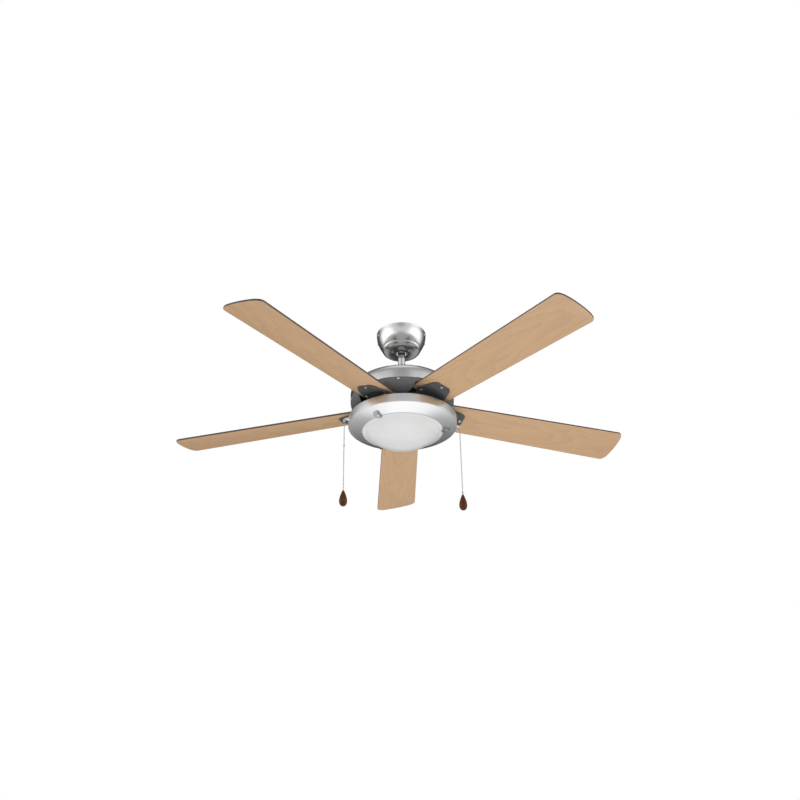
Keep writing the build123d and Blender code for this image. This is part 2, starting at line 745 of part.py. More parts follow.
def make_lampholder():
    """One lampholder lying along X, with the foot that fixes it under the plate."""
    axis_y = BULB_OFFSET_Y
    body = rod_along_x(17, -78, -44, y=axis_y, z=BULB_AXIS_Z)
    plate_face = PAN_TOP_Z - SHEET - 1.6
    foot = block((-78, -52), (axis_y - 10, axis_y + 10), (BULB_AXIS_Z + 10, plate_face))
    socket = rod_along_x(13.2, -71, -40, y=axis_y, z=BULB_AXIS_Z)
    return body + foot - socket


def make_bulb():
    """A small round bulb: its cap is in the holder and its globe points along +X."""
    cap = rod_along_x(13.2, -71, -46, y=BULB_OFFSET_Y, z=BULB_AXIS_Z)
    outline = [(0, -46), (13.0, -46), (12.2, -34), (18.0, -20), (BULB_R, -8), (0, BULB_R - 8)]
    with BuildPart() as part:
        with BuildSketch(Plane.XZ):
            with BuildLine():
                Polyline(*outline[:3])
                Spline(outline[2], outline[3], outline[4], tangents=[(0.3, 1), (0, 1)])
                ThreePointArc(outline[4], (BULB_R * math.sqrt(0.5), BULB_R * math.sqrt(0.5) - 8), outline[5])
                Line(outline[5], outline[0])
            make_face()
        revolve(axis=Axis.Z)
    globe = Pos(0, BULB_OFFSET_Y, BULB_AXIS_Z) * Rot(0, 90, 0) * part.part
    return cap + globe


def make_glass_bowl():
    def rim_under(radius):
        return pan_underside(radius) - 0.05

    dome_start = (GLASS_DOME_R, rim_under(GLASS_DOME_R))
    bottom = (0, GLASS_BOTTOM_Z)
    depth = dome_start[1] - GLASS_BOTTOM_Z
    dome_r = (GLASS_DOME_R**2 + depth**2) / (2 * depth)
    centre_z = GLASS_BOTTOM_Z + dome_r
    inner_r = dome_r - GLASS_THICKNESS
    inner_start_r = GLASS_DOME_R - 3.0
    inner_start = (inner_start_r, centre_z - math.sqrt(inner_r**2 - inner_start_r**2))
    inner_bottom = (0, GLASS_BOTTOM_Z + GLASS_THICKNESS)
    half_angle = math.asin(GLASS_DOME_R / dome_r) / 2
    outer_middle = via(dome_r * math.sin(half_angle), centre_z - dome_r * math.cos(half_angle))
    inner_half = math.asin(inner_start_r / inner_r) / 2
    inner_middle = via(inner_r * math.sin(inner_half), centre_z - inner_r * math.cos(inner_half))
    return turned(
        (GLASS_R, rim_under(GLASS_R)),
        dome_start,
        outer_middle,
        bottom,
        inner_bottom,
        inner_middle,
        inner_start,
        (GLASS_R, rim_under(GLASS_R) + 3.1),
    )


def make_glass_clip(azimuth):
    """A D-shaped turn clip: its straight side faces along the rim when it holds the glass."""
    disc = Pos(0, 0, CLIP_THICKNESS / 2) * Cylinder(CLIP_R, CLIP_THICKNESS)
    disc = fillet(disc.edges().group_by(Axis.Z)[-1], 0.8)
    straight = Pos(0, CLIP_FLAT + 10, 0) * Box(40, 20, 10)
    grip = block((-9.5, 9.5), (CLIP_FLAT - 1.4, CLIP_FLAT), (0, 4.4))
    hole = Cylinder(2.0, 12)
    return clip_place(azimuth) * (disc - straight + grip - hole)


def make_clip_screws():
    screw = pan_head_screw(3.6, 2.0, 1.8, 5.5)
    return [clip_place(azimuth) * Pos(0, 0, CLIP_THICKNESS + 0.3) * screw for azimuth in CLIP_AZIMUTHS]


def make_run_capacitor():
    top = PAN_TOP_Z - SHEET - 1.6
    case = block((-22, 22), (96, 118), (top - 24, top))
    return fillet(case.edges().filter_by(Axis.Z), 2)


def make_pull_switches():
    """Two canopy-type pull switches behind the chain nozzles."""
    top = PAN_TOP_Z - SHEET - 1.6
    case = block((116, 138), (-9, 9), (-290, top))
    case = fillet(case.edges().filter_by(Axis.Z), 2)
    barrel = rod_along_x(3.0, 138, PAN_R, z=NOZZLE_Z)
    chain_bore = rod_along_x(1.8, 134, PAN_R, z=NOZZLE_Z)
    return copies(case + barrel - chain_bore, CHAIN_AZIMUTHS)


def make_chain_nozzles():
    """Bent outlets that turn each chain from the switch down towards the room."""
    bend_x = CHAIN_R - NOZZLE_BEND_R
    bend_centre = NOZZLE_Z - NOZZLE_BEND_R
    section = Circle(3.5) - Circle(2.2)
    nut = Pos(PAN_R + 1.25, 0, NOZZLE_Z) * Rot(0, 90, 0) * extrude(RegularPolygon(6.2, 6), 1.25, both=True)
    nut = nut - rod_along_x(2.2, PAN_R - 1, PAN_R + 4, z=NOZZLE_Z)
    stub_plane = Plane((PAN_R + 2.5, 0, NOZZLE_Z), x_dir=(0, 1, 0), z_dir=(1, 0, 0))
    stub = extrude(stub_plane * section, bend_x - PAN_R - 2.5)
    bend_plane = Plane((bend_x, 0, NOZZLE_Z), x_dir=(0, 1, 0), z_dir=(1, 0, 0))
    bend_axis = Axis((bend_x, 0, bend_centre), (0, 1, 0))
    elbow = revolve(bend_plane * section, bend_axis, 90)
    mouth = turned(
        (2.2, bend_centre), (3.5, bend_centre), (4.6, NOZZLE_MOUTH_Z), (3.6, NOZZLE_MOUTH_Z)
    )
    nozzle = joined([nut, stub, elbow, Pos(CHAIN_R, 0, 0) * mouth])
    return copies(nozzle, CHAIN_AZIMUTHS)


def make_reverse_switch():
    body = block((PAN_R - 16, PAN_R - SHEET - 2.2), (-9, 12), (REVERSE_Z - 5, REVERSE_Z + 5))
    return turn(body, REVERSE_AZIMUTH)


def make_reverse_knob():
    """The slide knob of the reversing switch, stored at one end of its slot."""
    stem = block((PAN_R - 3.0, PAN_R + 2.6), (-4.5, 1.5), (REVERSE_Z - 1.6, REVERSE_Z + 1.6))
    return turn(stem, REVERSE_AZIMUTH)


# ---- pull chains ----
def on_chain(shape, azimuth):
    return turn(Pos(CHAIN_R, 0, 0) * shape, azimuth)


def make_pull_link():
    """The last beads of the chain inside the nozzle mouth."""
    return post(1.5, CHAIN_PIVOT_Z + 2.0, CHAIN_PIVOT_Z + 5.0)


def make_chain(top, bottom):
    """A plain round cord between two heights, with a ball at both ends."""
    cord = post(CHAIN_WIRE_R, bottom, top)
    return cord + Pos(0, 0, top) * Sphere(CHAIN_WIRE_R) + Pos(0, 0, bottom) * Sphere(CHAIN_WIRE_R)


def make_connector(joint_z):
    top = joint_z - CONNECTOR_DROP
    body = post(CONNECTOR_R, top - CONNECTOR_LENGTH, top)
    return fillet(body.edges().filter_by(GeomType.CIRCLE), 0.9)


def make_pendant(top):
    """A turned teardrop knob."""
    widest = top - PENDANT_LENGTH * 0.66
    bottom = top - PENDANT_LENGTH
    with BuildPart() as part:
        with BuildSketch(Plane.XZ):
            with BuildLine():
                Line((0, top), (2.6, top))
                Spline((2.6, top), (4.8, top - 11), (PENDANT_R, widest), tangents=[(0.1, -1), (0.05, -1)])
                Spline((PENDANT_R, widest), (7.0, bottom + 3.2), (0, bottom), tangents=[(0.05, -1), (-1, 0)])
                Line((0, bottom), (0, top))
            make_face()
        revolve(axis=Axis.Z)
    return part.part


def save_ceiling_mounting():
    save("ceiling_bracket", make_ceiling_bracket())
    save("canopy", make_canopy())
    save("canopy_collar", make_canopy_collar())
    save("canopy_screws", *make_canopy_screws())
    save("collar_screws", *make_collar_screws())
    save("ball_liner", make_ball_liner())
    save("hanger_ball", make_hanger_ball())
    save("ball_pin", make_ball_pin())
    save("downrod", make_downrod())


def save_motor():
    save("motor_coupling", make_motor_coupling())
    save("coupling_pin", *make_coupling_pin())
    save("coupling_set_screw", make_coupling_set_screw())
    save("top_cover", make_top_cover())
    save("cover_screws", *make_cover_screws())
    save("motor_shaft", make_motor_shaft())
    save("stator_core", make_stator_core())
    save("stator_windings", make_stator_windings())
    save("bearing_inner_rings", *make_bearing_inner_rings())
    save("bearing_outer_rings", *make_bearing_outer_rings())
    save("rotor_ring", make_rotor_ring())
    save("rotor_upper_bell", make_rotor_upper_bell())
    save("rotor_lower_bell", make_rotor_lower_bell())
    save("rotor_shell", make_rotor_shell())
    save("shell_screws", *make_shell_screws())


def save_blades():
    blade = make_blade()
    iron = make_blade_iron()
    for number, azimuth in enumerate(BLADE_AZIMUTHS, start=1):
        save(f"blade_{number}", turn(blade, azimuth))
        save(f"blade_iron_{number}", turn(iron, azimuth))
    save("blade_screws", *make_blade_screws())
    save("iron_screws", *make_iron_screws())


def save_light_kit():
    lampholder = make_lampholder()
    bulb = make_bulb()
    save("light_kit_plate", make_light_kit_plate())
    save("fitter_pan", make_fitter_pan())
    save("pan_screws", *make_pan_screws())
    save("lampholders", lampholder, turn(lampholder, 180))
    save("bulbs", bulb, turn(bulb, 180))
    save("glass_bowl", make_glass_bowl())
    save("run_capacitor", make_run_capacitor())
    save("pull_switches", *make_pull_switches())
    save("chain_nozzles", *make_chain_nozzles())
    save("reverse_switch", make_reverse_switch())
    save("reverse_knob", make_reverse_knob())
    for number, azimuth in enumerate(CLIP_AZIMUTHS, start=1):
        save(f"glass_clip_{number}", make_glass_clip(azimuth))
    save("clip_screws", *make_clip_screws())


def save_chains():
    fan_side, light_side = CHAIN_AZIMUTHS
    connector_bottom = FAN_CHAIN_JOINT_Z - CONNECTOR_DROP - CONNECTOR_LENGTH
    light_pendant_top = LIGHT_CHAIN_JOINT_Z - CONNECTOR_DROP - CONNECTOR_LENGTH
    fan_lower = post(CHAIN_WIRE_R, FAN_PENDANT_Z, connector_bottom)
    save("fan_pull_link", on_chain(make_pull_link(), fan_side))
    save("fan_chain_upper", on_chain(make_chain(CHAIN_PIVOT_Z, FAN_CHAIN_JOINT_Z), fan_side))
    save("fan_connector", on_chain(make_connector(FAN_CHAIN_JOINT_Z), fan_side))
    save("fan_chain_lower", on_chain(fan_lower, fan_side))
    save("fan_pendant", on_chain(make_pendant(FAN_PENDANT_Z), fan_side))
    save("light_pull_link", on_chain(make_pull_link(), light_side))
    save("light_chain", on_chain(make_chain(CHAIN_PIVOT_Z, LIGHT_CHAIN_JOINT_Z), light_side))
    save("light_connector", on_chain(make_connector(LIGHT_CHAIN_JOINT_Z), light_side))
    save("light_pendant", on_chain(make_pendant(light_pendant_top), light_side))


os.makedirs("parts", exist_ok=True)
save_ceiling_mounting()
save_motor()
save_blades()
save_light_kit()
save_chains()
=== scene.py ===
import math

import bmesh
import bpy
from mathutils import Matrix, Vector


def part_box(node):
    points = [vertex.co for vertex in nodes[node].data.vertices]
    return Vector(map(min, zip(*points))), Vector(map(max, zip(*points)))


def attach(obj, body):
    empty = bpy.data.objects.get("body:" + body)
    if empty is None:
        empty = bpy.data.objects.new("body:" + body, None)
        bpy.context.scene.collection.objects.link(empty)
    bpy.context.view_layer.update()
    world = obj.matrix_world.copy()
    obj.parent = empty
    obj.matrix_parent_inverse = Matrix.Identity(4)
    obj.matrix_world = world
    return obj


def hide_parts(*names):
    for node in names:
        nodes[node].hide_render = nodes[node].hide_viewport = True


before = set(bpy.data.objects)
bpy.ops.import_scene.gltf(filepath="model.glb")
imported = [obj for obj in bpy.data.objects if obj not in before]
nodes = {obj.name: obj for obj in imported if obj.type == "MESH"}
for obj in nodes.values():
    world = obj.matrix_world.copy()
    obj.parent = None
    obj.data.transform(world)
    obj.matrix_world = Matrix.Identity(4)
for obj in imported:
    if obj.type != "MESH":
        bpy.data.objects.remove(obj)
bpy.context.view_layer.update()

# Metres, in the frame of the CAD model: z = 0 is the ceiling and the fan hangs towards -Z.

# ---- driving values ----
LATHE_STEPS = 180  # round the axis, on the large turned pieces
HANGING = "hanging_unit"
MOUNTING = "ceiling_mounting"
ROTOR = "rotor"
BLADE_COUNT = 5
BLADE_AZIMUTH = math.radians(92.1)  # of blade_1
BLADE_PITCH = math.radians(11.8)
BLADE_DROOP = math.radians(1.0)
BLADE_Z = -0.240
BLADE_THICKNESS = 0.0056
BLADE_ROOT_R = 0.107
BLADE_TIP_R = 0.660
BLADE_TIP_BULGE = 0.007
BLADE_TIP_CORNER = 0.016
BLADE_EDGE_ROUND = 0.0011
BLADE_ROOT_HALF = 0.0522
BLADE_TIP_HALF = 0.0628
BLADE_UV_SHIFT = 1.37  # metres of veneer from one board's figure to the next
CHAIN_R = 0.159
CHAIN_AZIMUTH = math.radians(10.0)
CHAIN_TOP_Z = -0.2895
FAN_CHAIN_JOINT_Z = -0.3560
FAN_LOWER_TOP_Z = -0.36595
FAN_CHAIN_END_Z = -0.4910
LIGHT_CHAIN_END_Z = -0.4740
BEAD_R = 0.0016
BEAD_PITCH = 0.0041
BEAD_LINK_R = 0.00055
NOZZLE_BEAD_R = 0.0012
BOWL_LOW_Z = -0.353
BOWL_DOME_TOP_Z = -0.3109
BOWL_DOME_R = 0.101
BOWL_WALL = 0.003
CAMERA_PLACE = (-0.006, -2.450, -1.556)
CAMERA_PITCH = math.radians(28.79)
CAMERA_ROLL = math.radians(-0.81)
CAMERA_LENS = 45.7
CAMERA_WAY = (0.0, -0.85, -0.53)  # from the fan to the camera
FLOOR_Z = -3.40
FLOOR_HALF = 15
ROOM_LEVEL = 0.90
SIDE_LEVEL = 1.0


# ---- camera ----
def make_camera():
    """A camera below and in front of the fan, looking up at it."""
    forward = Vector((0, math.cos(CAMERA_PITCH), math.sin(CAMERA_PITCH)))
    side = Vector((1, 0, 0))
    up = side.cross(forward)
    right = side * math.cos(CAMERA_ROLL) + up * math.sin(CAMERA_ROLL)
    top = up * math.cos(CAMERA_ROLL) - side * math.sin(CAMERA_ROLL)
    rotation = Matrix((right, top, -forward)).transposed()
    data = bpy.data.cameras.new("camera")
    data.sensor_width = 36.0
    data.lens = CAMERA_LENS
    data.clip_end = 50.0
    camera = bpy.data.objects.new("camera", data)
    bpy.context.scene.collection.objects.link(camera)
    camera.matrix_world = Matrix.Translation(CAMERA_PLACE) @ rotation.to_4x4()
    bpy.context.scene.camera = camera


make_camera()


# ---- mesh helpers ----
def add_object(name, mesh, material, body=None, replaced=()):
    """Links an object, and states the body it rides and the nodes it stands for."""
    piece = bpy.data.objects.new(name, mesh)
    bpy.context.scene.collection.objects.link(piece)
    piece.data.materials.append(material)
    if replaced:
        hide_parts(*replaced)
    if body is not None:
        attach(piece, body)
    return piece


def smooth(mesh, angle=math.radians(35)):
    """Shades the mesh smooth, with sharp edges where faces meet at more than the angle."""
    for polygon in mesh.polygons:
        polygon.use_smooth = True
    mesh.set_sharp_from_angle(angle=angle)


def arc(centre, radius, start, end, steps):
    """Points of (radius, height) on an arc; angles in degrees, from the outward direction."""
    points = []
    for index in range(steps + 1):
        turn = math.radians(start + (end - start) * index / steps)
        points.append((centre[0] + radius * math.cos(turn), centre[1] + radius * math.sin(turn)))
    return points


def curve_through(points, steps):
    """A smooth line of points through a few (radius, height) points."""
    result = []
    for index in range(len(points) - 1):
        before = points[max(index - 1, 0)]
        after = points[min(index + 2, len(points) - 1)]
        controls = (before, points[index], points[index + 1], after)
        for step in range(steps):
            t = step / steps
            weights = (
                -0.5 * t + t**2 - 0.5 * t**3,
                1 - 2.5 * t**2 + 1.5 * t**3,
                0.5 * t + 2 * t**2 - 1.5 * t**3,
                -0.5 * t**2 + 0.5 * t**3,
            )
            result.append(
                tuple(
                    sum(weight * point[axis] for weight, point in zip(weights, controls))
                    for axis in (0, 1)
                )
            )
    result.append(points[-1])
    return result


def lathe(name, outline, closed=True, steps=LATHE_STEPS, centre=(0.0, 0.0)):
    """A mesh turned about an upright axis from (radius, height) points in metres."""
    mesh = bpy.data.meshes.new(name)
    work = bmesh.new()
    rings = []
    for radius, height in outline:
        if radius < 1e-6:
            rings.append([work.verts.new((centre[0], centre[1], height))])
            continue
        ring = []
        for index in range(steps):
            turn = 2 * math.pi * index / steps
            place = (centre[0] + radius * math.cos(turn), centre[1] + radius * math.sin(turn), height)
            ring.append(work.verts.new(place))
        rings.append(ring)
    pairs = list(zip(rings, rings[1:]))
    if closed:
        pairs.append((rings[-1], rings[0]))
    for first, second in pairs:
        if len(first) == 1 and len(second) == 1:
            continue
        for index in range(steps):
            following = (index + 1) % steps
            if len(first) == 1:
                work.faces.new((first[0], second[following], second[index]))
            elif len(second) == 1:
                work.faces.new((first[index], first[following], second[0]))
            else:
                work.faces.new((first[index], first[following], second[following], second[index]))
    bmesh.ops.recalc_face_normals(work, faces=work.faces)
    work.to_mesh(mesh)
    work.free()
    smooth(mesh)
    return mesh


def apply_modifiers(piece):
    """Replaces the object's mesh with its mesh after modifiers."""
    graph = bpy.context.evaluated_depsgraph_get()
    result = bpy.data.meshes.new_from_object(piece.evaluated_get(graph))
    piece.modifiers.clear()
    piece.data = result


def eased_copy(node, name, material, body, width):
    """A copy of a CAD node with its sharp edges eased, which stands for the node."""
    mesh = nodes[node].data.copy()
    mesh.materials.clear()
    work = bmesh.new()
    work.from_mesh(mesh)
    bmesh.ops.remove_doubles(work, verts=work.verts, dist=0.00001)
    bmesh.ops.dissolve_limit(work, angle_limit=math.radians(2.0), verts=work.verts, edges=work.edges)
    work.to_mesh(mesh)
    work.free()
    piece = add_object(name, mesh, material)
    bevel = piece.modifiers.new("ease", "BEVEL")
    bevel.width = width
    bevel.segments = 2
    bevel.limit_method = "ANGLE"
    bevel.angle_limit = math.radians(40)
    bevel.harden_normals = False
    apply_modifiers(piece)
    smooth(piece.data, math.radians(38))
    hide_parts(node)
    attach(piece, body)


# ---- material helpers ----
class Shader:
    """A material with a Principled shader, and short calls to add and join its nodes."""

    def __init__(self, name, colour, roughness, metallic=0.0, **constants):
        self.material = bpy.data.materials.new(name)
        self.material.use_nodes = True
        self.nodes = self.material.node_tree.nodes
        self.links = self.material.node_tree.links
        self.surface = self.nodes["Principled BSDF"]
        self.surface.inputs["Base Color"].default_value = (*colour, 1.0)
        self.surface.inputs["Roughness"].default_value = roughness
        self.surface.inputs["Metallic"].default_value = metallic
        for socket, value in constants.items():
            self.surface.inputs[socket.replace("_", " ")].default_value = value

    def add(self, kind, **settings):
        node = self.nodes.new(kind)
        for name, value in settings.items():
            setattr(node, name, value)
        return node

    def maths(self, operation, first, second=None):
        node = self.add("ShaderNodeMath", operation=operation)
        for index, value in enumerate((first, second)):
            if value is None:
                continue
            if isinstance(value, (int, float)):
                node.inputs[index].default_value = value
            else:
                self.links.new(value, node.inputs[index])
        return node.outputs[0]

    def position(self):
        return self.add("ShaderNodeTexCoord").outputs["Object"]

    def stretched(self, scale, source=None):
        """The position, scaled unevenly, so that a noise becomes streaks."""
        mapping = self.add("ShaderNodeMapping")
        mapping.inputs["Scale"].default_value = scale
        self.links.new(source or self.position(), mapping.inputs["Vector"])
        return mapping.outputs[0]

    def noise(self, vector, scale, detail=3.0, roughness=0.55):
        node = self.add("ShaderNodeTexNoise")
        node.inputs["Scale"].default_value = scale
        node.inputs["Detail"].default_value = detail
        node.inputs["Roughness"].default_value = roughness
        self.links.new(vector, node.inputs["Vector"])
        return node.outputs["Fac"]

    def ramp(self, source, *stops):
        """A colour ramp; each stop is (place, colour)."""
        node = self.add("ShaderNodeValToRGB")
        elements = node.color_ramp.elements
        while len(elements) < len(stops):
            elements.new(0.5)
        for element, (place, colour) in zip(elements, stops):
            element.position = place
            element.color = (*colour, 1.0)
        self.links.new(source, node.inputs["Fac"])
        return node.outputs["Color"]

    def span(self, source, low, high, start=0.0, end=1.0):
        """Maps a value from a range to low..high."""
        node = self.add("ShaderNodeMapRange")
        for index, value in enumerate((start, end, low, high), start=1):
            node.inputs[index].default_value = value
        self.links.new(source, node.inputs[0])
        return node.outputs[0]

    def blend(self, factor, first, second):
        """A mix of two colours, each of which is a tuple or an output."""
        node = self.add("ShaderNodeMix", data_type="RGBA")
        if isinstance(factor, float):
            node.inputs["Factor"].default_value = factor
        else:
            self.links.new(factor, node.inputs["Factor"])
        for name, value in (("A", first), ("B", second)):
            socket = next(s for s in node.inputs if s.name == name and s.type == "RGBA")
            if isinstance(value, tuple):
                socket.default_value = (*value, 1.0)
            else:
                self.links.new(value, socket)
        return next(s for s in node.outputs if s.type == "RGBA")

    def colour_from(self, output):
        self.links.new(output, self.surface.inputs["Base Color"])

    def roughness_from(self, output):
        self.links.new(output, self.surface.inputs["Roughness"])

    def bump_from(self, output, strength, distance):
        node = self.add("ShaderNodeBump")
        node.inputs["Strength"].default_value = strength
        node.inputs["Distance"].default_value = distance
        self.links.new(output, node.inputs["Height"])
        self.links.new(node.outputs[0], self.surface.inputs["Normal"])

    def around_axis(self, angle_scale, radius_scale):
        """Coordinates about Z, scaled apart along the circumference and across it."""
        split = self.add("ShaderNodeSeparateXYZ")
        self.links.new(self.position(), split.inputs[0])
        x, y, z = split.outputs
        angle = self.maths("ARCTAN2", y, x)
        squares = self.maths("ADD", self.maths("MULTIPLY", x, x), self.maths("MULTIPLY", y, y))
        radius = self.maths("SQRT", squares)
        join = self.add("ShaderNodeCombineXYZ")
        self.links.new(self.maths("MULTIPLY", angle, angle_scale), join.inputs[0])
        self.links.new(self.maths("MULTIPLY", radius, radius_scale), join.inputs[1])
        self.links.new(self.maths("MULTIPLY", z, radius_scale), join.inputs[2])
        return join.outputs[0]


# ---- materials ----
def turned_metal(name, colour, roughness, streak=0.10, anisotropy=0.6):
    """Spun or brushed metal: fine rings about the axis, small stains and a soft sheen along them."""
    shader = Shader(name, colour, roughness, 1.0, Anisotropic=anisotropy)
    tangent = shader.add("ShaderNodeTangent", direction_type="RADIAL", axis="Z")
    shader.links.new(tangent.outputs[0], shader.surface.inputs["Tangent"])
    rings = shader.noise(shader.around_axis(1.2, 900.0), 1.0, 4.0, 0.65)
    stains = shader.noise(shader.position(), 14.0, 4.0)
    darker = tuple(value * (1 - streak) for value in colour)
    ringed = shader.ramp(rings, (0.30, darker), (0.70, colour))
    stained = shader.ramp(stains, (0.35, tuple(value * 0.95 for value in colour)), (0.70, colour))
    shader.colour_from(shader.blend(0.5, ringed, stained))
    shader.roughness_from(shader.span(rings, roughness * 0.85, roughness * 1.2, 0.3, 0.7))
    shader.bump_from(rings, 0.05, 0.0002)
    return shader.material


def plain_metal(name, colour, roughness, grain=900.0, strength=0.06):
    """Plated metal with a fine grain and slight smears."""
    shader = Shader(name, colour, roughness, 1.0)
    fine = shader.noise(shader.position(), grain, 3.0)
    smears = shader.noise(shader.stretched((20.0, 20.0, 60.0)), 1.0, 4.0)
    worn = tuple(value * 0.86 for value in colour)
    shader.colour_from(shader.ramp(smears, (0.35, worn), (0.65, colour)))
    shader.roughness_from(shader.span(smears, roughness * 0.75, roughness * 1.3, 0.3, 0.7))
    shader.bump_from(fine, strength, 0.0002)
    return shader.material


def enamel(name, colour, roughness):
    """Dark metallic enamel: a fine flake, a slight orange peel and rubbed patches."""
    shader = Shader(name, colour, roughness, 0.0, Specular_IOR_Level=0.45)
    flake = shader.noise(shader.position(), 2600.0, 2.0)
    peel = shader.noise(shader.position(), 420.0, 2.0)
    patches = shader.noise(shader.position(), 22.0, 4.0)
    bright = tuple(min(value * 1.5, 1.0) for value in colour)
    flaked = shader.ramp(flake, (0.42, colour), (0.75, bright))
    shader.colour_from(shader.blend(shader.span(patches, 0.3, 0.9, 0.3, 0.7), colour, flaked))
    shader.roughness_from(shader.span(patches, roughness * 0.85, roughness * 1.2, 0.3, 0.7))
    shader.bump_from(peel, 0.08, 0.0002)
    return shader.material


def moulded(name, colour, roughness):
    """Moulded plastic with a fine spark-eroded texture."""
    shader = Shader(name, colour, roughness)
    fine = shader.noise(shader.position(), 1500.0, 2.0)
    broad = shader.noise(shader.position(), 40.0, 3.0)
    paler = tuple(min(value * 1.25 + 0.01, 1.0) for value in colour)
    shader.colour_from(shader.ramp(broad, (0.35, colour), (0.70, paler)))
    shader.roughness_from(shader.span(broad, roughness * 0.9, roughness * 1.15, 0.3, 0.7))
    shader.bump_from(fine, 0.12, 0.0002)
    return shader.material


def wound_copper(name):
    """Enamelled copper wire laid round the axis."""
    shader = Shader(name, (0.55, 0.22, 0.09), 0.3, 0.9, Coat_Weight=0.4)
    wires = shader.noise(shader.around_axis(2.0, 1800.0), 1.0, 2.0)
    shader.colour_from(shader.ramp(wires, (0.35, (0.22, 0.07, 0.03)), (0.65, (0.62, 0.27, 0.12))))
    shader.bump_from(wires, 0.4, 0.0004)
    return shader.material


def laminated_steel(name):
    """Varnished laminations, stacked upwards."""
    shader = Shader(name, (0.20, 0.20, 0.21), 0.45, 0.9)
    layers = shader.noise(shader.stretched((3.0, 3.0, 2200.0)), 1.0, 2.0)
    shader.colour_from(shader.ramp(layers, (0.40, (0.10, 0.10, 0.11)), (0.60, (0.32, 0.32, 0.34))))
    shader.bump_from(layers, 0.4, 0.0003)
    return shader.material


def blade_board(name, pale, mid, dark, gloss, contrast):
    """Flat-sawn veneer: cathedral figure down the middle, straight grain beside it, pores and flecks.
    The blade's UV map holds metres along and across the board."""
    shader = Shader(name, mid, gloss, 0.0, Coat_Weight=0.25, Coat_Roughness=0.22, Specular_IOR_Level=0.45)
    along = shader.add("ShaderNodeUVMap", uv_map="board").outputs[0]
    wander = shader.noise(shader.stretched((3.2, 16.0, 1.0), along), 1.0, 3.0)
    split = shader.add("ShaderNodeSeparateXYZ")
    shader.links.new(along, split.inputs[0])
    x, y, _ = split.outputs
    across = shader.maths("MULTIPLY", y, 13.0)
    bow = shader.maths("MULTIPLY", across, across)
    figure = shader.maths("ADD", shader.maths("MULTIPLY", x, 2.6), bow)
    wavy = shader.maths("ADD", figure, shader.maths("MULTIPLY", wander, 1.5))
    rings = shader.maths("FRACT", shader.maths("MULTIPLY", wavy, 3.2))
    grain = shader.noise(shader.stretched((9.0, 420.0, 1.0), along), 1.0, 5.0, 0.6)
    fibre = shader.noise(shader.stretched((60.0, 2400.0, 1.0), along), 1.0, 3.0, 0.6)
    broad = shader.noise(shader.stretched((2.0, 9.0, 1.0), along), 1.0, 3.0)
    ring_colour = shader.ramp(rings, (0.0, pale), (0.55, mid), (0.90, dark), (1.0, pale))
    grain_colour = shader.ramp(grain, (0.30, dark), (0.55, mid), (0.80, pale))
    mixed = shader.blend(contrast, grain_colour, ring_colour)
    mixed = shader.blend(shader.span(fibre, 0.0, 0.5, 0.35, 0.75), mixed, mid)
    toned = shader.blend(shader.span(broad, 0.0, 0.35, 0.35, 0.70), mixed, pale)
    shader.colour_from(toned)
    shader.roughness_from(shader.span(grain, gloss * 0.85, gloss * 1.15, 0.3, 0.7))
    shader.bump_from(grain, 0.05, 0.0002)
    return shader.material


def opal_glass(name):
    """Satin opal glass: milky, with a faint cloud and a soft gloss."""
    shader = Shader(
        name, (0.80, 0.80, 0.795), 0.32, 0.0, Subsurface_Weight=0.35, Subsurface_Scale=0.006, Coat_Weight=0.2
    )
    shader.surface.inputs["Subsurface Radius"].default_value = (1.0, 1.0, 1.0)
    cloud = shader.noise(shader.position(), 16.0, 4.0)
    grain = shader.noise(shader.position(), 1400.0, 2.0)
    shader.colour_from(shader.ramp(cloud, (0.30, (0.775, 0.775, 0.77)), (0.70, (0.83, 0.83, 0.825))))
    shader.roughness_from(shader.span(cloud, 0.26, 0.38, 0.3, 0.7))
    shader.bump_from(grain, 0.03, 0.0001)
    return shader.material


def pendant_lacquer(name):
    """Turned hardwood under a deep brown gloss lacquer."""
    shader = Shader(
        name,
        (0.16, 0.05, 0.015),
        0.30,
        0.0,
        Coat_Weight=0.12,
        Coat_Roughness=0.05,
        Specular_IOR_Level=0.12,
    )
    grain = shader.noise(shader.stretched((260.0, 260.0, 16.0)), 1.0, 5.0, 0.6)
    fine = shader.noise(shader.stretched((1200.0, 1200.0, 90.0)), 1.0, 3.0)
    broad = shader.noise(shader.stretched((30.0, 30.0, 8.0)), 1.0, 2.0)
    dark, mid, pale = (0.030, 0.007, 0.002), (0.085, 0.024, 0.006), (0.16, 0.055, 0.014)
    base = shader.ramp(grain, (0.30, dark), (0.55, mid), (0.8, pale))
    glow = shader.blend(shader.span(broad, 0.0, 0.6, 0.35, 0.7), base, (0.13, 0.042, 0.010))
    shader.colour_from(glow)
    shader.bump_from(fine, 0.05, 0.0001)
    return shader.material


NICKEL = turned_metal("satin_nickel", (0.63, 0.63, 0.625), 0.23, 0.06, 0.4)
ROD_METAL = plain_metal("rod_nickel", (0.66, 0.66, 0.655), 0.13)
ALUMINIUM = turned_metal("spun_aluminium", (0.72, 0.725, 0.73), 0.34, 0.12, 0.72)
GUNMETAL = enamel("gunmetal_enamel", (0.125, 0.125, 0.128), 0.50)
# The gunmetal enamel made darker for the blade irons: painted shade for the shade on their upright and hollow
# faces.
IRON_ENAMEL_PAINTED_SHADE = enamel("iron_enamel_painted_shade", (0.070, 0.070, 0.073), 0.46)
CLIP_METAL = plain_metal("clip_zinc", (0.40, 0.40, 0.41), 0.34)
ZINC = plain_metal("zinc_plate", (0.70, 0.71, 0.72), 0.25)
CHROME = plain_metal("polished_chrome", (0.86, 0.86, 0.86), 0.10)
BEAD_METAL = plain_metal("bead_nickel", (0.60, 0.60, 0.60), 0.22)
CAST = plain_metal("cast_aluminium", (0.55, 0.55, 0.56), 0.48, 500.0, 0.3)
BLACK = moulded("black_plastic", (0.022, 0.022, 0.024), 0.42)
